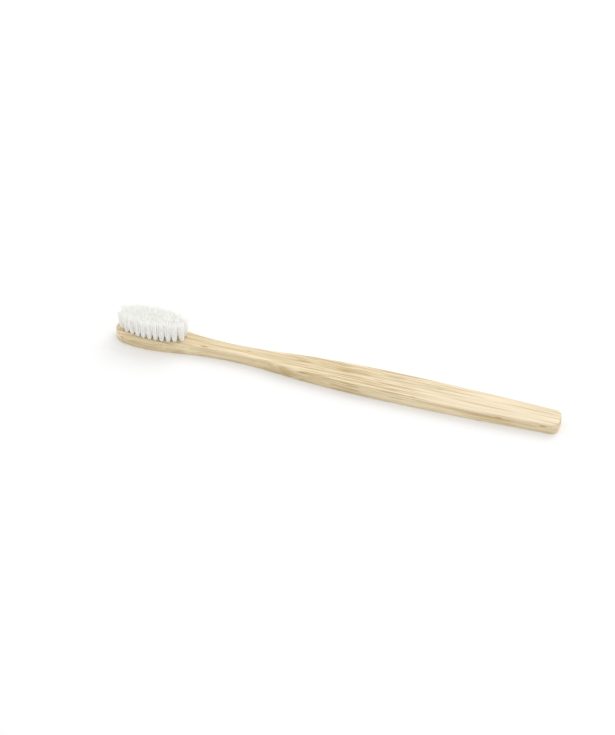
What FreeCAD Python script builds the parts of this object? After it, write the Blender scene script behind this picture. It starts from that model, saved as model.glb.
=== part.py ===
import FreeCAD, Part
import math
import os
import Sketcher

# Manual toothbrush: a flat bamboo stick with a rounded head, nylon tufts in blind holes of the head, and
# a flat metal anchor wedged across the fold of each tuft. The brush lies on its back, bristles up: X runs
# from the head's tip to the grip's end, Y across, Z up. The origin is under the middle of its length.

DRIVING_SIZES = {
    # plan of the stick, with places measured from the head's tip
    "brush_length": 190.0,
    "head_width": 13.5,
    "head_widest_at": 15.0,
    "shoulder_rise": 0.9,
    "shoulder_turn_share": 0.28,
    "neck_width": 5.7,
    "neck_at": 53.0,
    "neck_turn_share": 0.27,
    "belly_width": 13.3,
    "belly_at": 115.0,
    "end_width": 9.6,
    "end_corner_radius": 3.0,
    # side of the stick
    "head_thickness": 4.8,
    "thickness_gain": 0.3,
    "slope_start": 33.0,
    "slope_length": 30.0,
    "edge_radius": 0.6,
    "cut_overrun": 2.0,
    # field of tufts
    "tip_margin": 3.15,
    "side_margin": 2.15,
    "tuft_pitch": 2.65,
    "hole_diameter": 1.7,
    "hole_depth": 3.2,
    # one tuft
    "bristle_height": 9.3,
    "tip_crown": 0.25,
    "tip_gap": 0.16,
    "root_clearance": 0.05,
    # one anchor
    "fold_height": 0.45,
    "anchor_height": 1.3,
    "anchor_thickness": 0.3,
    "anchor_bite": 0.12,
    "anchor_angle": 30.0,
}

# How many tufts each column has, from the tip to the neck. The field is an oval that ends a little past
# its end columns, at this share of their distance from the middle; each column is as wide as the oval is
# there.
TUFT_COUNTS = (2, 3, 4, 4, 4, 4, 4, 4, 4, 3, 2)
COLUMNS = range(len(TUFT_COUNTS))
MIDDLE_COLUMN = COLUMNS[-1] / 2
OVAL_END_SHARE = 1.076

# Numbers that a sketch gives to the points of an edge, and to its own X axis and origin.
START = 1
END = 2
CENTRE = 3
X_AXIS = -1
ORIGIN = (-1, 1)

document = FreeCAD.newDocument("toothbrush")


def make_sheet():
    """Each driving size in a cell of its own, named by its alias."""
    sheet = document.addObject("Spreadsheet::Sheet", "Sizes")
    for row, (name, value) in enumerate(DRIVING_SIZES.items(), start=1):
        sheet.set(f"A{row}", name)
        sheet.set(f"B{row}", str(value))
        sheet.setAlias(f"B{row}", name)
    document.recompute()
    return sheet


sizes = make_sheet()


def across_shares(column):
    """Places of a column's tufts across the head, as shares of the field's half width."""
    end_share = (column / MIDDLE_COLUMN - 1) / OVAL_END_SHARE
    width_share = math.sqrt(1 - end_share ** 2)
    places = range(TUFT_COUNTS[column])
    return [width_share * (2 * spot / places[-1] - 1) for spot in places]


CLOSEST_SHARE = min(across_shares(column)[1] - across_shares(column)[0] for column in COLUMNS)

# Expressions that several pieces share.
HALF_LENGTH = "(Sizes.brush_length / 2)"
HANDLE_THICKNESS = "(Sizes.head_thickness + Sizes.thickness_gain)"
FIELD_HALF_WIDTH = "(Sizes.head_width / 2 - Sizes.side_margin)"
HOLE_RADIUS = "(Sizes.hole_diameter / 2)"
HOLE_FLOOR = "(Sizes.head_thickness - Sizes.hole_depth)"
ROOT_RADIUS = f"({HOLE_RADIUS} - Sizes.root_clearance)"
TUFT_SPACING = f"min(Sizes.tuft_pitch; {CLOSEST_SHARE} * {FIELD_HALF_WIDTH})"
TIP_RADIUS = f"(({TUFT_SPACING} - Sizes.tip_gap) / 2)"
ANCHOR_LENGTH = "(Sizes.hole_diameter + 2 * Sizes.anchor_bite)"
ANCHOR_FLOOR = f"({HOLE_FLOOR} + Sizes.fold_height)"


def tuft_places():
    """Column, number in the column, and expressions in X and Y for the axis of every tuft."""
    for column in COLUMNS:
        along = f"(Sizes.tip_margin + {column} * Sizes.tuft_pitch - {HALF_LENGTH})"
        for number, share in enumerate(across_shares(column), start=1):
            yield column + 1, number, along, f"({share} * {FIELD_HALF_WIDTH})"


def bind(thing, expressions):
    """Ties properties of a thing to expressions on the sheet."""
    for path, expression in expressions.items():
        thing.setExpression(path, expression)


def place(thing, along, across, height):
    """Ties the place of a thing to expressions in X, Y and Z."""
    bind(thing, {"Placement.Base.x": along, "Placement.Base.y": across, "Placement.Base.z": height})


def point(x, y):
    return FreeCAD.Vector(x, y, 0)


def arc(centre, start, end):
    """An arc about a centre, counter-clockwise from one point to another."""
    first = math.atan2(start.y - centre.y, start.x - centre.x)
    last = math.atan2(end.y - centre.y, end.x - centre.x)
    circle = Part.Circle(centre, FreeCAD.Vector(0, 0, 1), (start - centre).Length)
    return Part.ArcOfCircle(circle, first, last)


def loop(*corners):
    """Straight edges round a closed outline."""
    return [Part.LineSegment(start, end) for start, end in zip(corners, corners[1:] + corners[:1])]


def new_sketch(body, name, role):
    """An empty sketch on the origin plane of the body that has this role."""
    sketch = body.newObject("Sketcher::SketchObject", name)
    plane = next(feature for feature in body.Origin.OriginFeatures if feature.Role == role)
    sketch.AttachmentSupport = [(plane, "")]
    sketch.MapMode = "FlatFace"
    return sketch


def hold(sketch, kind, *wheres):
    """The same geometric constraint at several places of a sketch."""
    for where in wheres:
        sketch.addConstraint(Sketcher.Constraint(kind, *where))


def measure(sketch, kind, where):
    """What a dimension of this kind reads at this place of a sketch, as drawn."""
    if kind == "Radius":
        return sketch.Geometry[where[0]].Radius
    span = sketch.getPoint(*where[2:]) - sketch.getPoint(*where[:2])
    return span.x if kind == "DistanceX" else span.y


def dimension(sketch, kind, **places):
    """Named dimensions of one kind, each set as it is drawn and tied to an expression on the sheet."""
    for name, (where, expression) in places.items():
        drawn = measure(sketch, kind, where)
        index = sketch.addConstraint(Sketcher.Constraint(kind, *where, drawn))
        sketch.renameConstraint(index, name)
        sketch.setExpression(f"Constraints.{name}", expression)


def s_radii(rise, run):
    """Sum of the radii of two arcs that join two level points in a smooth S of this rise and run."""
    return (run ** 2 + rise ** 2) / (2 * rise)


def draw_half_plan(sketch):
    """Half the plan of the stick, closed along its middle line: arcs that are level at the head's widest,
    the neck's narrowest and the belly's widest place, each tangent to the next."""
    tip = point(-sizes.brush_length / 2, 0)
    end = point(sizes.brush_length / 2, 0)
    head = point(tip.x + sizes.head_widest_at, sizes.head_width / 2)
    neck = point(tip.x + sizes.neck_at, sizes.neck_width / 2)
    belly = point(tip.x + sizes.belly_at, sizes.belly_width / 2)
    corner = point(end.x - sizes.end_corner_radius, sizes.end_width / 2)
    shoulder = head + (neck - head) * sizes.shoulder_turn_share
    waist = neck + (belly - neck) * sizes.neck_turn_share

    tip_radius = head.y - sizes.shoulder_rise
    tip_centre = point(tip.x + tip_radius, 0)
    head_run = head.x - tip_centre.x
    head_radius = (head_run ** 2 + head.y ** 2 - tip_radius ** 2) / (2 * sizes.shoulder_rise)
    head_centre = point(head.x, head.y - head_radius)
    cheek = head_centre + (tip_centre - head_centre) * (head_radius / (head_radius - tip_radius))
    shoulder_radii = s_radii(head.y - neck.y, neck.x - head.x)
    shoulder_centre = point(head.x, head.y - shoulder_radii * sizes.shoulder_turn_share)
    neck_front_centre = point(neck.x, neck.y + shoulder_radii * (1 - sizes.shoulder_turn_share))
    neck_radii = s_radii(belly.y - neck.y, belly.x - neck.x)
    neck_rear_centre = point(neck.x, neck.y + neck_radii * sizes.neck_turn_share)
    belly_centre = point(belly.x, belly.y - neck_radii * (1 - sizes.neck_turn_share))
    rear_centre = point(belly.x, belly.y - s_radii(belly.y - corner.y, corner.x - belly.x))
    corner_centre = point(corner.x, corner.y - sizes.end_corner_radius)
    corner_foot = point(end.x, corner_centre.y)

    tip_arc = sketch.addGeometry(arc(tip_centre, cheek, tip))
    head_arc = sketch.addGeometry(arc(head_centre, head, cheek))
    shoulder_arc = sketch.addGeometry(arc(shoulder_centre, shoulder, head))
    neck_front = sketch.addGeometry(arc(neck_front_centre, shoulder, neck))
    neck_rear = sketch.addGeometry(arc(neck_rear_centre, neck, waist))
    belly_arc = sketch.addGeometry(arc(belly_centre, belly, waist))
    rear_arc = sketch.addGeometry(arc(rear_centre, corner, belly))
    corner_arc = sketch.addGeometry(arc(corner_centre, corner_foot, corner))
    end_line = sketch.addGeometry(Part.LineSegment(corner_foot, end))
    middle_line = sketch.addGeometry(Part.LineSegment(end, tip))

    hold(
        sketch,
        "Tangent",
        (tip_arc, START, head_arc, END),
        (head_arc, START, shoulder_arc, END),
        (shoulder_arc, START, neck_front, START),
        (neck_front, END, neck_rear, START),
        (neck_rear, END, belly_arc, END),
        (belly_arc, START, rear_arc, END),
        (rear_arc, START, corner_arc, END),
        (corner_arc, START, end_line, START),
    )
    hold(sketch, "Coincident", (end_line, END, middle_line, START), (middle_line, END, tip_arc, END))
    hold(sketch, "PointOnObject", (middle_line, END, X_AXIS), (tip_arc, CENTRE, X_AXIS))
    hold(sketch, "Horizontal", (middle_line,))
    hold(
        sketch,
        "Vertical",
        (end_line,),
        (head_arc, START, head_arc, CENTRE),
        (neck_front, END, neck_front, CENTRE),
        (belly_arc, START, belly_arc, CENTRE),
    )

    from_tip = (middle_line, END)
    head_point = (head_arc, START)
    neck_point = (neck_front, END)
    belly_point = (belly_arc, START)
    shoulder_run = "(Sizes.neck_at - Sizes.head_widest_at)"
    waist_run = "(Sizes.belly_at - Sizes.neck_at)"
    dimension(
        sketch,
        "DistanceX",
        tip_at=(ORIGIN + from_tip, f"-{HALF_LENGTH}"),
        length=(from_tip + (middle_line, START), "Sizes.brush_length"),
        head_at=(from_tip + head_point, "Sizes.head_widest_at"),
        neck_at=(from_tip + neck_point, "Sizes.neck_at"),
        belly_at=(from_tip + belly_point, "Sizes.belly_at"),
        shoulder_turn=(head_point + (shoulder_arc, START), f"Sizes.shoulder_turn_share * {shoulder_run}"),
        waist_turn=(neck_point + (neck_rear, END), f"Sizes.neck_turn_share * {waist_run}"),
    )
    dimension(
        sketch,
        "DistanceY",
        head_half_width=(from_tip + head_point, "Sizes.head_width / 2"),
        neck_half_width=(from_tip + neck_point, "Sizes.neck_width / 2"),
        belly_half_width=(from_tip + belly_point, "Sizes.belly_width / 2"),
        end_half_width=(from_tip + (rear_arc, START), "Sizes.end_width / 2"),
    )
    dimension(
        sketch,
        "Radius",
        tip_round=((tip_arc,), "Sizes.head_width / 2 - Sizes.shoulder_rise"),
        corner_round=((corner_arc,), "Sizes.end_corner_radius"),
    )


def draw_waste_above(sketch):
    """Side view of what is planed off the top: level over the head, an S up to the grip, level again."""
    front = -sizes.brush_length / 2 - sizes.cut_overrun
    rear = sizes.brush_length / 2 + sizes.cut_overrun
    low = point(-sizes.brush_length / 2 + sizes.slope_start, sizes.head_thickness)
    high = low + point(sizes.slope_length, sizes.thickness_gain)
    turn = (low + high) / 2
    rise = point(0, s_radii(sizes.thickness_gain, sizes.slope_length) / 2)
    top = high.y + 2 * sizes.cut_overrun
    head_line = sketch.addGeometry(Part.LineSegment(point(front, low.y), low))
    low_arc = sketch.addGeometry(arc(low + rise, low, turn))
    high_arc = sketch.addGeometry(arc(high - rise, high, turn))
    grip_line = sketch.addGeometry(Part.LineSegment(high, point(rear, high.y)))
    rear_line = sketch.addGeometry(Part.LineSegment(point(rear, high.y), point(rear, top)))
    top_line = sketch.addGeometry(Part.LineSegment(point(rear, top), point(front, top)))
    front_line = sketch.addGeometry(Part.LineSegment(point(front, top), point(front, low.y)))
    hold(
        sketch,
        "Tangent",
        (head_line, END, low_arc, START),
        (low_arc, END, high_arc, END),
        (high_arc, START, grip_line, START),
    )
    hold(
        sketch,
        "Coincident",
        (grip_line, END, rear_line, START),
        (rear_line, END, top_line, START),
        (top_line, END, front_line, START),
        (front_line, END, head_line, START),
    )
    hold(sketch, "Horizontal", (head_line,), (grip_line,), (top_line,))
    hold(sketch, "Vertical", (rear_line,), (front_line,))
    slope = (head_line, END)
    grip = (grip_line, START)
    dimension(
        sketch,
        "DistanceX",
        front=(ORIGIN + (head_line, START), f"-{HALF_LENGTH} - Sizes.cut_overrun"),
        rear=(ORIGIN + (rear_line, START), f"{HALF_LENGTH} + Sizes.cut_overrun"),
        slope_start=(ORIGIN + slope, f"Sizes.slope_start - {HALF_LENGTH}"),
        slope_length=(slope + grip, "Sizes.slope_length"),
    )
    dimension(
        sketch,
        "DistanceY",
        head_top=(ORIGIN + slope, "Sizes.head_thickness"),
        gain=(slope + grip, "Sizes.thickness_gain"),
        waste_top=(ORIGIN + (top_line, START), f"{HANDLE_THICKNESS} + 2 * Sizes.cut_overrun"),
    )


def round_edge_names(shape):
    """Names of the edges where the upright walls of the stick meet its top and its back."""
    half_thickness = sizes.head_thickness / 2
    walls = [face for face in shape.Faces if face.BoundBox.ZLength > half_thickness]
    rims = [edge for wall in walls for edge in wall.Edges if edge.BoundBox.ZLength < half_thickness]
    return [
        f"Edge{number}"
        for number, edge in enumerate(shape.Edges, start=1)
        if any(map(edge.isSame, rims))
    ]


def make_stick():
    """The bamboo stick before drilling: its plan padded up, planed to its side view, edges rounded."""
    body = document.addObject("PartDesign::Body", "stick")
    plan = new_sketch(body, "half_plan", "XY_Plane")
    draw_half_plan(plan)
    pad = body.newObject("PartDesign::Pad", "half_blank")
    pad.Profile = plan
    bind(pad, {"Length": f"{HANDLE_THICKNESS} + Sizes.cut_overrun"})
    document.recompute()
    mirror = body.newObject("PartDesign::Mirrored", "blank")
    mirror.Originals = [pad]
    middle = next(feature for feature in body.Origin.OriginFeatures if feature.Role == "XZ_Plane")
    mirror.MirrorPlane = (middle, [""])
    body.Tip = mirror
    document.recompute()
    waste = new_sketch(body, "waste_above", "XZ_Plane")
    draw_waste_above(waste)
    planed = body.newObject("PartDesign::Pocket", "planed_top")
    planed.Profile = waste
    planed.Midplane = True
    bind(planed, {"Length": "2 * (Sizes.head_width + Sizes.belly_width)"})
    document.recompute()
    rounded = body.newObject("PartDesign::Fillet", "rounded_edges")
    rounded.Base = (planed, round_edge_names(planed.Shape))
    bind(rounded, {"Radius": "Sizes.edge_radius"})
    document.recompute()
    return body


def make_anchor_block(name, along, across, floor, height):
    """An upright block on an anchor's plan: thin along, long across, turned about the tuft's axis."""
    block = document.addObject("Part::Box", name)
    bind(block, {"Length": "Sizes.anchor_thickness", "Width": ANCHOR_LENGTH, "Height": height})
    bind(block, {"Placement.Rotation.Angle": "Sizes.anchor_angle"})
    cosine = "cos(Sizes.anchor_angle)"
    sine = "sin(Sizes.anchor_angle)"
    corner_along = f"{along} - {cosine} * Sizes.anchor_thickness / 2 + {sine} * {ANCHOR_LENGTH} / 2"
    corner_across = f"{across} - {sine} * Sizes.anchor_thickness / 2 - {cosine} * {ANCHOR_LENGTH} / 2"
    place(block, corner_along, corner_across, floor)
    return block


def group(name, members):
    compound = document.addObject("Part::Compound", name)
    compound.Links = members
    return compound


def cut(name, base, tool):
    result = document.addObject("Part::Cut", name)
    result.Base = base
    result.Tool = tool
    return result


def make_handle():
    """The stick with a blind hole for each tuft, and the slit that each anchor cut on its way in."""
    holes = []
    slits = []
    slit_height = "Sizes.hole_depth - Sizes.fold_height + Sizes.cut_overrun"
    for column, number, along, across in tuft_places():
        hole = document.addObject("Part::Cylinder", f"hole_{column:02d}_{number}")
        bind(hole, {"Radius": HOLE_RADIUS, "Height": "Sizes.hole_depth + Sizes.cut_overrun"})
        place(hole, along, across, HOLE_FLOOR)
        holes.append(hole)
        slit_name = f"slit_{column:02d}_{number}"
        slits.append(make_anchor_block(slit_name, along, across, ANCHOR_FLOOR, slit_height))
    drilled = cut("drilled_stick", make_stick(), group("holes", holes))
    return cut("handle", drilled, group("slits", slits))


def draw_tuft_half(sketch):
    """Half of a tuft cut along its axis, from the fold in the hole to the crowned tip."""
    floor = -sizes.hole_depth
    root = sizes.hole_diameter / 2 - sizes.root_clearance
    field_half_width = sizes.head_width / 2 - sizes.side_margin
    tip = (min(sizes.tuft_pitch, CLOSEST_SHARE * field_half_width) - sizes.tip_gap) / 2
    rim = point(tip, sizes.bristle_height - sizes.tip_crown)
    crown = point(0, sizes.bristle_height)
    crown_centre = crown - point(0, s_radii(sizes.tip_crown, tip))
    corners = (crown, point(0, floor), point(root, floor), point(root, 0), rim)
    straight = [Part.LineSegment(start, end) for start, end in zip(corners, corners[1:])]
    axis, fold, wall, flare = (sketch.addGeometry(edge) for edge in straight)
    crown_arc = sketch.addGeometry(arc(crown_centre, rim, crown))
    hold(
        sketch,
        "Coincident",
        (axis, END, fold, START),
        (fold, END, wall, START),
        (wall, END, flare, START),
        (flare, END, crown_arc, START),
        (crown_arc, END, axis, START),
    )
    hold(sketch, "Vertical", (axis,), (wall,), (axis, START, crown_arc, CENTRE))
    hold(sketch, "Horizontal", (fold,))
    dimension(
        sketch,
        "DistanceX",
        axis_at=(ORIGIN + (axis, START), "0"),
        root_radius=((axis, END, fold, END), ROOT_RADIUS),
        tip_radius=((axis, START, flare, END), TIP_RADIUS),
    )
    dimension(
        sketch,
        "DistanceY",
        root_floor=(ORIGIN + (axis, END), "-Sizes.hole_depth"),
        mouth=((wall, START, wall, END), "Sizes.hole_depth"),
        rim=((wall, END, flare, END), "Sizes.bristle_height - Sizes.tip_crown"),
        crown=((wall, END, axis, START), "Sizes.bristle_height"),
    )


def draw_anchor_window(sketch):
    """Section of the anchor's window through a tuft, above the fold."""
    half = sizes.anchor_thickness / 2
    floor = sizes.fold_height - sizes.hole_depth
    top = floor + sizes.anchor_height
    corners = (point(-half, floor), point(half, floor), point(half, top), point(-half, top))
    bottom, right, upper, left = (sketch.addGeometry(edge) for edge in loop(*corners))
    hold(
        sketch,
        "Coincident",
        (bottom, END, right, START),
        (right, END, upper, START),
        (upper, END, left, START),
        (left, END, bottom, START),
    )
    hold(sketch, "Horizontal", (bottom,), (upper,))
    hold(sketch, "Vertical", (right,), (left,))
    dimension(
        sketch,
        "DistanceX",
        left=(ORIGIN + (bottom, START), "-Sizes.anchor_thickness / 2"),
        width=((bottom, START, bottom, END), "Sizes.anchor_thickness"),
    )
    dimension(
        sketch,
        "DistanceY",
        floor=(ORIGIN + (bottom, START), "Sizes.fold_height - Sizes.hole_depth"),
        height=((right, START, right, END), "Sizes.anchor_height"),
    )


def make_tuft(column, number, along, across):
    """A bundle of bristles, folded in its hole round an anchor and spreading a little to its tip."""
    body = document.addObject("PartDesign::Body", f"tuft_{column:02d}_{number}")
    half = new_sketch(body, "tuft_half", "XZ_Plane")
    draw_tuft_half(half)
    bundle = body.newObject("PartDesign::Revolution", "bundle")
    bundle.Profile = half
    bundle.ReferenceAxis = (half, ["V_Axis"])
    window = new_sketch(body, "anchor_window", "XZ_Plane")
    draw_anchor_window(window)
    opening = body.newObject("PartDesign::Pocket", "anchor_opening")
    opening.Profile = window
    opening.Midplane = True
    bind(opening, {"Length": "2 * Sizes.hole_diameter"})
    bind(body, {"Placement.Rotation.Angle": "Sizes.anchor_angle"})
    place(body, along, across, "Sizes.head_thickness")
    return body


def make_tufts_and_anchors():
    """Every tuft as a piece of its own, and the anchors of each column as one group."""
    tufts = []
    anchors = {}
    for column, number, along, across in tuft_places():
        tufts.append(make_tuft(column, number, along, across))
        name = f"anchor_{column:02d}_{number}"
        anchor = make_anchor_block(name, along, across, ANCHOR_FLOOR, "Sizes.anchor_height")
        anchors.setdefault(column, []).append(anchor)
    groups = [group(f"anchors_column_{column:02d}", members) for column, members in anchors.items()]
    return tufts + groups


def check(sub_parts):
    """Stops unless every object is sound, each cut has taken something away and each shape is whole."""
    for thing in document.Objects:
        if "Invalid" in thing.State or "Error" in thing.State:
            raise RuntimeError(f"{thing.Label} failed: {thing.State}")
        if thing.TypeId == "PartDesign::Pocket" and thing.Shape.Volume >= thing.BaseFeature.Shape.Volume:
            raise RuntimeError(f"{thing.Label} cuts nothing")
    for sub_part in sub_parts:
        if sub_part.Shape.isNull() or not sub_part.Shape.isValid():
            raise RuntimeError(f"{sub_part.Label} has no whole shape")


def write(sub_parts):
    os.makedirs("parts", exist_ok=True)
    for sub_part in sub_parts:
        sub_part.Shape.exportStep(os.path.join("parts", f"{sub_part.Label}.step"))
        print(f"{sub_part.Label}: {len(sub_part.Shape.Solids)} solids, {sub_part.Shape.Volume:.3f} mm3")


all_parts = [make_handle()] + make_tufts_and_anchors()
document.recompute()
check(all_parts)
write(all_parts)
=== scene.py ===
import math

import bpy
import numpy as np
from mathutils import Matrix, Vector


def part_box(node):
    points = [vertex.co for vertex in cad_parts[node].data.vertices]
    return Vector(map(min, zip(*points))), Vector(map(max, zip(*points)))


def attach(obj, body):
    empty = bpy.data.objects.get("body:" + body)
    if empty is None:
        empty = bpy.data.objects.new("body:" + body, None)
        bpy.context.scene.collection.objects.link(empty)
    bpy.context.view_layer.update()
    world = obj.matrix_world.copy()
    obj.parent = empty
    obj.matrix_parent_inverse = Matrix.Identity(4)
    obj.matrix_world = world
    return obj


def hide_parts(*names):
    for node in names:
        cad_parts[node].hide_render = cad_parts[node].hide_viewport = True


# A bamboo toothbrush lying on its flat back, bristles up. X runs from the head to the grip, Y away from
# the camera, Z up. Lengths are in metres, and MM turns millimetres into them.
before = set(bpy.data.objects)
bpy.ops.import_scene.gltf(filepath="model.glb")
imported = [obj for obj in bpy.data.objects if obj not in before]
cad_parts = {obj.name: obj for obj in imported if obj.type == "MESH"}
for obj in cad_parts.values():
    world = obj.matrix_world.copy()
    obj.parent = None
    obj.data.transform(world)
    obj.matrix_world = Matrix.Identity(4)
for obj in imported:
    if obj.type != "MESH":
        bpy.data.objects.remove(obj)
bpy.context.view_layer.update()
scene = bpy.context.scene
scene.view_settings.view_transform = "Standard"
# White filaments pass light on to one another many times before it comes out.
BOUNCES = 64
scene.cycles.max_bounces = BOUNCES
scene.cycles.diffuse_bounces = BOUNCES
SEED = 38
rng = np.random.default_rng(SEED)
MM = 0.001


def linear(colour):
    """Linear RGBA of an sRGB hex colour: a straight toe below 0.04045, a power of 2.4 above it."""
    srgb = np.array([int(colour[place:place + 2], 16) for place in (1, 3, 5)]) / 255
    channels = np.where(srgb <= 0.04045, srgb / 12.92, ((srgb + 0.055) / 1.055) ** 2.4)
    return (*channels.tolist(), 1.0)


def add_node(tree, kind, inputs=(), **settings):
    """Adds a node with its settings. An input that is given an output is linked to it, any other is set."""
    made = tree.nodes.new(kind)
    for name, value in settings.items():
        setattr(made, name, value)
    for socket, value in dict(inputs).items():
        if isinstance(value, bpy.types.NodeSocket):
            tree.links.new(value, made.inputs[socket])
        else:
            made.inputs[socket].default_value = value
    return made


def new_tree(holder):
    """The emptied node tree of a material or world."""
    holder.use_nodes = True
    holder.node_tree.nodes.clear()
    return holder.node_tree


def pattern_scale(size):
    """Mapping scale that gives a pattern's features this size along X, Y and Z: one over each length."""
    return tuple(1 / length for length in size)


# Places of a Mix node's sockets when it mixes colours.
FACTOR, FIRST, SECOND, MIXED = 0, 6, 7, 2
# Mapping nodes give the patterns their sizes, so the textures keep a scale of 1. Detail adds finer noise.
CELLS = {"Scale": 1.0}
SOFT_NOISE = {"Scale": 1.0, "Detail": 1.0}
MEDIUM_NOISE = {"Scale": 1.0, "Detail": 2.0}
ROUGH_NOISE = {"Scale": 1.0, "Detail": 3.0}

# Bamboo.
DEEP_STRAW = "#c6b085"
PALE_STRAW = "#f1e0bd"
PAINTED_SHEEN = "#efe1c5"
BUNDLE_BROWN = "#ae9055"
FLECK_BROWN = "#8f6e3c"
# Fibres wander by half a millimetre over a few centimetres.
WANDER_SIZE = (45 * MM, 12 * MM, 12 * MM)
WANDER = (0.0, 1.2 * MM, 1.2 * MM)
NOISE_MIDDLE = (0.5, 0.5, 0.5)
# Bands of paler and deeper straw are millimetres wide and as long as a finger.
BAND_SIZE = (60 * MM, 2.6 * MM, 2.6 * MM)
BAND_FADE = {"From Min": 0.3, "From Max": 0.7}
# Bundles are half a millimetre thick, a millimetre apart and centimetres long. Their colour is full in the
# core and gone at the edge, in spacings from their middle. The edge and the depth of the colour change from
# the back of the stick to its top: the bundles widen towards the back, where they crowd toward the cane's
# skin, which also paints slight shade low on the sides, and their brown is weaker below the top, which
# paints the sides lighter, standing in for light falling on them.
BUNDLE_SIZE = (48 * MM, 1.0 * MM, 1.0 * MM)
BUNDLE_EDGE_AND_FOOT_SHADE = {"From Min": 0.0, "From Max": 5 * MM, "To Min": 0.5, "To Max": 0.44}
BUNDLE_CORE = 0.14
BUNDLE_DEPTH_AND_SIDE_LIGHT = {"From Min": 3 * MM, "From Max": 4.6 * MM, "To Min": 0.52, "To Max": 0.7}
# In the middle of the stick the cut crosses the bundles at a slant: they show most there, and as short
# dashes too. The slant is full near the middle and fades away from it.
MIDDLE = 8 * MM
SLANT_FADE = {"From Min": 50 * MM, "From Max": 18 * MM}
STREAK_SHOWS = {"To Min": 0.8, "To Max": 0.9}
DASH_SIZE = (16 * MM, 0.55 * MM, 0.55 * MM)
DASH_FADE = {"From Min": 0.5, "From Max": 0.64}
# Single fibres are drawn several times as coarse as they are so that they show.
FIBRE_SIZE = (20 * MM, 0.3 * MM, 0.3 * MM)
FIBRE_TONE = {"From Min": 0.25, "From Max": 0.75, "To Min": 0.82, "To Max": 1.12}
WOOD_ROUGHNESS = {"From Min": 0.2, "From Max": 0.8, "To Min": 0.46, "To Max": 0.62}
# Short dark flecks show where a bundle was torn, in the few cells whose chance is above the limit.
FLECK_SIZE = (9 * MM, 1.5 * MM, 1.5 * MM)
FLECK_LIMIT = 0.86
FLECK_FADE = {"From Min": 0.26, "From Max": 0.1, "To Max": 0.8}
# Painted sheen: the top only is painted paler along the stick, towards the end of the grip.
SHEEN_ALONG = {"From Min": -35 * MM, "From Max": 75 * MM}
SHEEN_HIGH = {"From Min": 4.2 * MM, "From Max": 4.9 * MM, "To Max": 0.65}
# Sanding leaves the hard bundles a little proud.
BUNDLE_RELIEF = 0.6
WOOD_RELIEF = {"Strength": 0.5, "Distance": 0.03 * MM}
WOOD_IOR = 1.5


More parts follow.
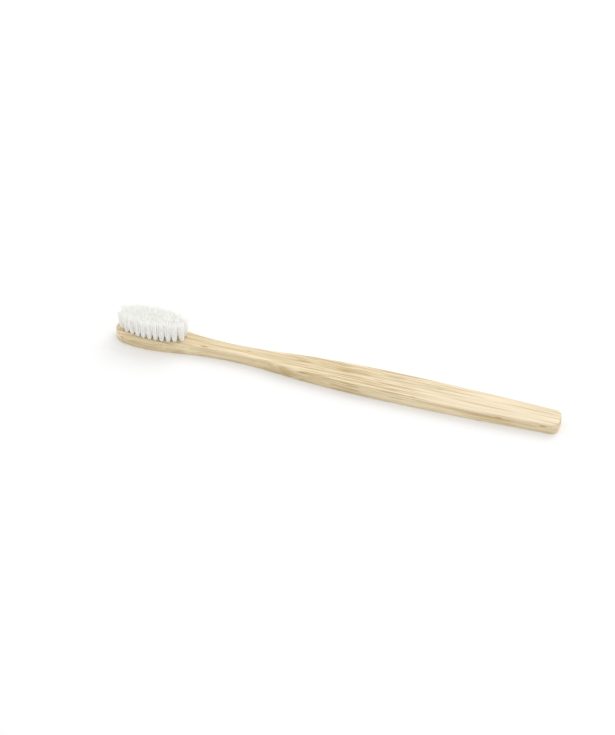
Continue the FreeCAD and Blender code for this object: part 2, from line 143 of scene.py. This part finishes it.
def planed_bamboo():
    """Bamboo, planed and sanded: straw-coloured soft tissue with long brown fibre bundles through it. A cut
    along the stick shows the bundles as streaks and a cut across shows them as dots, so the pattern is a
    solid one, drawn out along X. The bundles widen towards the back, where they crowd toward the cane's
    skin, which also paints slight shade low on the sides; their brown is weaker below the top, which paints
    the sides lighter, standing in for light falling on them. The top is painted paler towards the end of
    the
    grip: a painted sheen."""
    material = bpy.data.materials.new("planed_bamboo")
    tree = new_tree(material)
    place = add_node(tree, "ShaderNodeTexCoord").outputs["Object"]
    part = add_node(tree, "ShaderNodeSeparateXYZ", {0: place}).outputs

    slow = add_node(tree, "ShaderNodeMapping", {"Vector": place, "Scale": pattern_scale(WANDER_SIZE)})
    drift = add_node(tree, "ShaderNodeTexNoise", {"Vector": slow.outputs[0], **SOFT_NOISE})
    sideways = add_node(
        tree,
        "ShaderNodeVectorMath",
        {0: drift.outputs["Color"], 1: NOISE_MIDDLE},
        operation="SUBTRACT",
    )
    fibres = add_node(
        tree,
        "ShaderNodeVectorMath",
        {0: sideways.outputs[0], 1: WANDER, 2: place},
        operation="MULTIPLY_ADD",
    ).outputs[0]

    wide = add_node(tree, "ShaderNodeMapping", {"Vector": fibres, "Scale": pattern_scale(BAND_SIZE)})
    bands = add_node(tree, "ShaderNodeTexNoise", {"Vector": wide.outputs[0], **MEDIUM_NOISE})
    band_share = add_node(
        tree, "ShaderNodeMapRange", {"Value": bands.outputs["Fac"], **BAND_FADE}
    ).outputs[0]

    long = add_node(tree, "ShaderNodeMapping", {"Vector": fibres, "Scale": pattern_scale(BUNDLE_SIZE)})
    bundles = add_node(tree, "ShaderNodeTexVoronoi", {"Vector": long.outputs[0], **CELLS})
    # The bundles widen towards the back, where they crowd toward the cane's skin; this also paints slight
    # shade low on the sides.
    edge = add_node(tree, "ShaderNodeMapRange", {"Value": part["Z"], **BUNDLE_EDGE_AND_FOOT_SHADE})
    bundle = add_node(
        tree,
        "ShaderNodeMapRange",
        {"Value": bundles.outputs["Distance"], "From Min": edge.outputs[0], "From Max": BUNDLE_CORE},
        interpolation_type="SMOOTHSTEP",
    ).outputs[0]
    # Painted light: the bundles' brown is weaker below the top, so the sides are painted lighter, as light
    # falling on them.
    bundle_depth_and_side_light = add_node(tree, "ShaderNodeMapRange", {"Value": part["Z"], **BUNDLE_DEPTH_AND_SIDE_LIGHT}).outputs[0]

    past_middle = add_node(tree, "ShaderNodeMath", {0: part["X"], 1: MIDDLE}, operation="SUBTRACT")
    off_middle = add_node(tree, "ShaderNodeMath", {0: past_middle.outputs[0]}, operation="ABSOLUTE")
    slant = add_node(
        tree,
        "ShaderNodeMapRange",
        {"Value": off_middle.outputs[0], **SLANT_FADE},
        interpolation_type="SMOOTHSTEP",
    ).outputs[0]
    showing = add_node(tree, "ShaderNodeMapRange", {"Value": slant, **STREAK_SHOWS}).outputs[0]
    streak = add_node(tree, "ShaderNodeMath", {0: bundle, 1: showing}, operation="MULTIPLY").outputs[0]
    brief = add_node(tree, "ShaderNodeMapping", {"Vector": fibres, "Scale": pattern_scale(DASH_SIZE)})
    cut_ends = add_node(tree, "ShaderNodeTexNoise", {"Vector": brief.outputs[0], **SOFT_NOISE})
    dash = add_node(
        tree,
        "ShaderNodeMapRange",
        {"Value": cut_ends.outputs["Fac"], **DASH_FADE},
        interpolation_type="SMOOTHSTEP",
    ).outputs[0]
    slanted = add_node(tree, "ShaderNodeMath", {0: dash, 1: slant}, operation="MULTIPLY").outputs[0]
    shown = add_node(tree, "ShaderNodeMath", {0: streak, 1: slanted}, operation="MAXIMUM").outputs[0]
    bundle_share = add_node(
        tree, "ShaderNodeMath", {0: shown, 1: bundle_depth_and_side_light}, operation="MULTIPLY"
    ).outputs[0]

    thin = add_node(tree, "ShaderNodeMapping", {"Vector": fibres, "Scale": pattern_scale(FIBRE_SIZE)})
    fine = add_node(tree, "ShaderNodeTexNoise", {"Vector": thin.outputs[0], **ROUGH_NOISE}).outputs["Fac"]
    fine_tone = add_node(tree, "ShaderNodeMapRange", {"Value": fine, **FIBRE_TONE}).outputs[0]

    short = add_node(tree, "ShaderNodeMapping", {"Vector": fibres, "Scale": pattern_scale(FLECK_SIZE)})
    torn = add_node(tree, "ShaderNodeTexVoronoi", {"Vector": short.outputs[0], **CELLS})
    chance = add_node(tree, "ShaderNodeSeparateXYZ", {0: torn.outputs["Color"]}).outputs["X"]
    chosen = add_node(tree, "ShaderNodeMath", {0: chance, 1: FLECK_LIMIT}, operation="GREATER_THAN")
    fleck = add_node(
        tree,
        "ShaderNodeMapRange",
        {"Value": torn.outputs["Distance"], **FLECK_FADE},
        interpolation_type="SMOOTHSTEP",
    ).outputs[0]
    fleck_share = add_node(
        tree, "ShaderNodeMath", {0: chosen.outputs[0], 1: fleck}, operation="MULTIPLY"
    ).outputs[0]

    # Share of the painted sheen: paler along the stick towards the grip's end, on the top only.
    along = add_node(
        tree,
        "ShaderNodeMapRange",
        {"Value": part["X"], **SHEEN_ALONG},
        interpolation_type="SMOOTHSTEP",
    ).outputs[0]
    high = add_node(
        tree,
        "ShaderNodeMapRange",
        {"Value": part["Z"], **SHEEN_HIGH},
        interpolation_type="SMOOTHSTEP",
    ).outputs[0]
    sheen_share = add_node(tree, "ShaderNodeMath", {0: along, 1: high}, operation="MULTIPLY").outputs[0]

    # Each tone covers those before it by its share.
    colour = linear(DEEP_STRAW)
    for share, tone in (
        (band_share, PALE_STRAW),
        # Painted sheen: the top towards the grip's end is painted paler, as the light's sheen would make
        # it.
        (sheen_share, PAINTED_SHEEN),
        (bundle_share, BUNDLE_BROWN),
        (fleck_share, FLECK_BROWN),
    ):
        colour = add_node(
            tree,
            "ShaderNodeMix",
            {FACTOR: share, FIRST: colour, SECOND: linear(tone)},
            data_type="RGBA",
        ).outputs[MIXED]
    colour = add_node(
        tree, "ShaderNodeVectorMath", {0: colour, 1: fine_tone}, operation="MULTIPLY"
    ).outputs[0]

    height = add_node(
        tree, "ShaderNodeMath", {0: bundle, 1: BUNDLE_RELIEF, 2: fine}, operation="MULTIPLY_ADD"
    ).outputs[0]
    bump = add_node(tree, "ShaderNodeBump", {"Height": height, **WOOD_RELIEF}).outputs[0]
    roughness = add_node(tree, "ShaderNodeMapRange", {"Value": fine, **WOOD_ROUGHNESS}).outputs[0]
    wood = add_node(
        tree,
        "ShaderNodeBsdfPrincipled",
        {"Base Color": colour, "Roughness": roughness, "IOR": WOOD_IOR, "Normal": bump},
    )
    add_node(tree, "ShaderNodeOutputMaterial", {"Surface": wood.outputs[0]})
    return material


# Nylon. A shade is about two filaments wide and half a filament's height long. Packed filaments hide most
# of one another's gloss.
CREAMY_NYLON = "#fefefb"
WHITE_NYLON = "#ffffff"
SHADE_SIZE = (0.3 * MM, 0.3 * MM, 4 * MM)
NYLON_ROUGHNESS = {"To Min": 0.3, "To Max": 0.45}
NYLON_GLOSS = {"IOR": 1.53, "Specular IOR Level": 0.02}


def drawn_nylon():
    """Nylon filament, drawn and end-rounded: milky white with a faint gloss. Filaments are a shade whiter
    or creamier than their neighbours, so a tuft looks like many threads."""
    material = bpy.data.materials.new("drawn_nylon")
    tree = new_tree(material)
    place = add_node(tree, "ShaderNodeTexCoord").outputs["Object"]
    upright = add_node(tree, "ShaderNodeMapping", {"Vector": place, "Scale": pattern_scale(SHADE_SIZE)})
    shade = add_node(
        tree, "ShaderNodeTexNoise", {"Vector": upright.outputs[0], **SOFT_NOISE}
    ).outputs["Fac"]
    colour = add_node(
        tree,
        "ShaderNodeMix",
        {FACTOR: shade, FIRST: linear(CREAMY_NYLON), SECOND: linear(WHITE_NYLON)},
        data_type="RGBA",
    ).outputs[MIXED]
    roughness = add_node(tree, "ShaderNodeMapRange", {"Value": shade, **NYLON_ROUGHNESS}).outputs[0]
    filament = add_node(
        tree,
        "ShaderNodeBsdfPrincipled",
        {"Base Color": colour, "Roughness": roughness, **NYLON_GLOSS},
    )
    add_node(tree, "ShaderNodeOutputMaterial", {"Surface": filament.outputs[0]})
    return material


# Brass. The roller's lines lie level along the strip.
TARNISHED_BRASS = "#c9a24a"
BRIGHT_BRASS = "#e3c474"
ROLLER_LINE_SIZE = (0.6 * MM, 0.6 * MM, 0.05 * MM)
BRASS_ROUGHNESS = {"To Min": 0.22, "To Max": 0.42}


def rolled_brass():
    """Brass strip, rolled and chopped: yellow metal with fine roller lines and slight tarnish."""
    material = bpy.data.materials.new("rolled_brass")
    tree = new_tree(material)
    place = add_node(tree, "ShaderNodeTexCoord").outputs["Object"]
    level = add_node(
        tree, "ShaderNodeMapping", {"Vector": place, "Scale": pattern_scale(ROLLER_LINE_SIZE)}
    )
    rolled = add_node(
        tree, "ShaderNodeTexNoise", {"Vector": level.outputs[0], **MEDIUM_NOISE}
    ).outputs["Fac"]
    colour = add_node(
        tree,
        "ShaderNodeMix",
        {FACTOR: rolled, FIRST: linear(TARNISHED_BRASS), SECOND: linear(BRIGHT_BRASS)},
        data_type="RGBA",
    ).outputs[MIXED]
    roughness = add_node(tree, "ShaderNodeMapRange", {"Value": rolled, **BRASS_ROUGHNESS}).outputs[0]
    metal = add_node(
        tree,
        "ShaderNodeBsdfPrincipled",
        {"Base Color": colour, "Metallic": 1.0, "Roughness": roughness},
    )
    add_node(tree, "ShaderNodeOutputMaterial", {"Surface": metal.outputs[0]})
    return material


# One tuft: filaments that stand up from a hole in the head, spread as they rise and are trimmed level.
HEAD_FACE = 4.8 * MM
LEGS = 80
SIDES = 6
FILAMENT_RADIUS = 0.075 * MM
BUNDLE_RADIUS = 0.8 * MM
GOLDEN_ANGLE = math.pi * (3 - math.sqrt(5))
# How far the tips reach along the brush and across it, where the tufts stand further apart.
TIP_REACH = np.array([1.42, 1.56]) * MM
# How fast a tuft spreads above its hole, and how square its neighbours press it.
SPREAD_POWER = 2.6
SQUARENESS = 0.7
# How far a filament and a whole tuft lean at the tip, how unevenly the tips are cut, and their crown.
LEAN = 0.13 * MM
TUFT_LEAN = 0.05 * MM
TRIM_SPREAD = 0.12 * MM
CROWN = 0.2 * MM
# In the hole: the anchor's turn and the room that it takes, the share of its width that the bundle keeps
# along the anchor, and the gap under the feet.
ANCHOR_ANGLE = math.radians(30)
ANCHOR_CLEARANCE = 0.25 * MM
HOLE_FIT = 0.95
FOOT_CLEARANCE = 0.1 * MM
# A filament's rings from the mouth of its hole upwards, as shares of its free height.
RISE = np.array([0.0, 0.18, 0.42, 0.7])
# The rounded end: how far below the tip its last rings are and how wide, in filament radii.
TIP_DROP = np.array([1.2, 0.4])
TIP_WIDTH = np.array([1.0, 0.75])


def tuft_vertices(axis, hole_floor, top):
    """Rings of every filament of a tuft, and its tips. Filament n of N leaves the hole at the share
    sqrt((n + 1/2) / N) of the bundle's radius, a golden angle on from the last, which packs a disc evenly.
    Above the face its distance from the axis grows from that to the same share of the tips' reach, fast at
    first. Tufts side by side press one another square, so the reach is divided by a power of the larger of
    the turn's cosine and sine. In the hole the filament moves aside for the anchor. Each ring is a level
    circle about that path, and narrower at the tip."""
    count = np.arange(LEGS)
    turn = count * GOLDEN_ANGLE + rng.uniform(0, 2 * math.pi)
    share = np.sqrt((count + 0.5) / LEGS)
    away = np.stack([np.cos(turn), np.sin(turn)], axis=1) * share[:, None]
    root = away * (BUNDLE_RADIUS - FILAMENT_RADIUS)
    lean = rng.normal(0, LEAN, (LEGS, 2)) + rng.normal(0, TUFT_LEAN, 2)
    towards_corner = np.maximum(np.abs(np.cos(turn)), np.abs(np.sin(turn))) ** -SQUARENESS
    tip = away * towards_corner[:, None] * TIP_REACH + lean
    tip_height = top - CROWN * share ** 2 - rng.uniform(0, TRIM_SPREAD, LEGS)

    free_height = tip_height[:, None] - HEAD_FACE
    heights = np.concatenate([
        HEAD_FACE + RISE * free_height,
        tip_height[:, None] - TIP_DROP * FILAMENT_RADIUS,
    ], axis=1)
    climbed = (heights - HEAD_FACE) / free_height
    spread = 1 - (1 - np.clip(climbed, 0, 1)) ** SPREAD_POWER
    middle = root[:, None, :] + (tip - root)[:, None, :] * spread[:, :, None]

    thin_way = np.array([math.cos(ANCHOR_ANGLE), math.sin(ANCHOR_ANGLE)])
    long_way = np.array([-thin_way[1], thin_way[0]])
    beside = root @ thin_way
    room = 1 - ANCHOR_CLEARANCE / (BUNDLE_RADIUS - FILAMENT_RADIUS)
    beside = np.copysign(ANCHOR_CLEARANCE + np.abs(beside) * room, beside)
    foot = beside[:, None] * thin_way + (root @ long_way)[:, None] * HOLE_FIT * long_way
    middle = np.concatenate([foot[:, None, :], middle], axis=1)
    foot_height = np.full((LEGS, 1), hole_floor + FOOT_CLEARANCE)
    heights = np.concatenate([foot_height, heights], axis=1)
    width = np.concatenate([np.ones(1 + len(RISE)), TIP_WIDTH]) * FILAMENT_RADIUS

    corner = np.arange(SIDES) * 2 * math.pi / SIDES
    circle = np.stack([np.cos(corner), np.sin(corner)], axis=1)
    rings = np.empty((LEGS, len(width), SIDES, 3))
    rings[..., :2] = axis + middle[:, :, None, :] + width[:, None, None] * circle
    rings[..., 2] = heights[:, :, None]
    tips = np.concatenate([axis + tip, tip_height[:, None]], axis=1)
    return rings, tips


def tuft_faces(stations):
    """Four-sided faces between neighbouring rings, a fan of three-sided ones to each tip, and a face under
    each foot."""
    filament = np.arange(LEGS)[:, None, None] * stations * SIDES
    ring = np.arange(stations)[None, :, None] * SIDES
    side = np.arange(SIDES)[None, None, :]
    here = filament + ring + side
    beyond = filament + ring + (side + 1) % SIDES
    walls = np.stack([here[:, :-1], beyond[:, :-1], beyond[:, 1:], here[:, 1:]], axis=-1)
    pole = np.broadcast_to(LEGS * stations * SIDES + np.arange(LEGS)[:, None], (LEGS, SIDES))
    fans = np.stack([here[:, -1], beyond[:, -1], pole], axis=-1)
    feet = here[:, 0, ::-1]
    return walls.reshape(-1, 4).tolist() + fans.reshape(-1, 3).tolist() + feet.tolist()


def make_tuft(node, nylon):
    """A tuft of filaments in place of a tuft of the frame."""
    low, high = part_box(node)
    axis = np.array([low.x + high.x, low.y + high.y]) / 2
    rings, tips = tuft_vertices(axis, low.z, high.z)
    mesh = bpy.data.meshes.new(f"bristles_{node}")
    vertices = np.concatenate([rings.reshape(-1, 3), tips])
    mesh.from_pydata(vertices.tolist(), [], tuft_faces(rings.shape[1]))
    mesh.polygons.foreach_set("use_smooth", np.ones(len(mesh.polygons), bool))
    mesh.materials.append(nylon)
    tuft = bpy.data.objects.new(mesh.name, mesh)
    scene.collection.objects.link(tuft)
    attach(tuft, "root")
    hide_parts(node)


bamboo = planed_bamboo()
nylon = drawn_nylon()
brass = rolled_brass()
for name, thing in sorted(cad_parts.items()):
    if name.startswith("tuft"):
        make_tuft(name, nylon)
    else:
        for material_slot in thing.material_slots:
            material_slot.material = bamboo if name == "handle" else brass

# Camera: a long lens from the front right, looking down at the brush.
FRAME_HEIGHT = 735
FOCAL_PIXELS = 2050
SENSOR = 36.0
AZIMUTH = math.radians(18.2)
ELEVATION = math.radians(41)
TARGET = Vector((-11.05, 0.27, 3.0)) * MM
DISTANCE = 842 * MM
NEAREST = 50 * MM
back = Vector((
    math.sin(AZIMUTH) * math.cos(ELEVATION),
    -math.cos(AZIMUTH) * math.cos(ELEVATION),
    math.sin(ELEVATION),
))
lens = bpy.data.cameras.new("camera")
lens.sensor_width = SENSOR
lens.lens = FOCAL_PIXELS * SENSOR / FRAME_HEIGHT
lens.clip_start = NEAREST
camera = bpy.data.objects.new("camera", lens)
camera.location = TARGET + back * DISTANCE
camera.rotation_mode = "QUATERNION"
camera.rotation_quaternion = (-back).to_track_quat("-Z", "Y")
scene.collection.objects.link(camera)
scene.camera = camera

# Light: an even white sky, and a broad soft lamp high behind the brush, a little to the right.
SKY = {"Color": linear("#ffffff"), "Strength": 1.0}
LAMP_PLACE = Vector((0.2, 0.6, 0.7))
LAMP_SIZE = 0.6
LAMP_POWER = 2.2
world = bpy.data.worlds.new("studio")
scene.world = world
sky_tree = new_tree(world)
sky = add_node(sky_tree, "ShaderNodeBackground", SKY)
add_node(sky_tree, "ShaderNodeOutputWorld", {"Surface": sky.outputs[0]})
light = bpy.data.lights.new("softbox", "AREA")
light.size = LAMP_SIZE
light.energy = LAMP_POWER
lamp = bpy.data.objects.new("softbox", light)
lamp.location = LAMP_PLACE
lamp.rotation_mode = "QUATERNION"
lamp.rotation_quaternion = (-LAMP_PLACE).to_track_quat("-Z", "Y")
scene.collection.objects.link(lamp)

# Floor: matt white paper, seen a little brighter than it is lit so that only the shadow shows on it, and
# brighter still far off, where it meets the white sky. It gives way by a hair under the stick, so a look
# from below shows the back as it is.
FLOOR_HALF = 3.0
FLOOR_LEVEL = 0.02 * MM
PAPER_WHITE = "#e8e8e8"
GLOW_BY_DISTANCE = {"From Min": 0.25, "From Max": 0.9, "To Min": 0.1, "To Max": 0.35}
paper = bpy.data.materials.new("white_paper")
paper_tree = new_tree(paper)
matt = add_node(paper_tree, "ShaderNodeBsdfDiffuse", {"Color": linear(PAPER_WHITE)})
spot = add_node(paper_tree, "ShaderNodeTexCoord").outputs["Object"]
distance = add_node(paper_tree, "ShaderNodeVectorMath", {0: spot}, operation="LENGTH").outputs["Value"]
glow_there = add_node(
    paper_tree, "ShaderNodeMapRange", {"Value": distance, **GLOW_BY_DISTANCE}
).outputs[0]
# The glow is for the camera and for what a gloss or a clear piece shows, and lights nothing.
path = add_node(paper_tree, "ShaderNodeLightPath").outputs
shiny = add_node(
    paper_tree,
    "ShaderNodeMath",
    {0: path["Is Glossy Ray"], 1: path["Is Transmission Ray"]},
    operation="MAXIMUM",
).outputs[0]
seen = add_node(
    paper_tree, "ShaderNodeMath", {0: path["Is Camera Ray"], 1: shiny}, operation="MAXIMUM"
).outputs[0]
glow_strength = add_node(
    paper_tree, "ShaderNodeMath", {0: seen, 1: glow_there}, operation="MULTIPLY"
).outputs[0]
glow = add_node(paper_tree, "ShaderNodeEmission", {"Strength": glow_strength})
both = add_node(paper_tree, "ShaderNodeAddShader", {0: matt.outputs[0], 1: glow.outputs[0]})
add_node(paper_tree, "ShaderNodeOutputMaterial", {"Surface": both.outputs[0]})

corners = np.array([(-1, -1), (1, -1), (1, 1), (-1, 1)]) * FLOOR_HALF
floor_mesh = bpy.data.meshes.new("floor")
floor_mesh.from_pydata([(x, y, FLOOR_LEVEL) for x, y in corners], [], [(0, 1, 2, 3)])
floor_mesh.materials.append(paper)
floor = bpy.data.objects.new("floor", floor_mesh)
scene.collection.objects.link(floor)
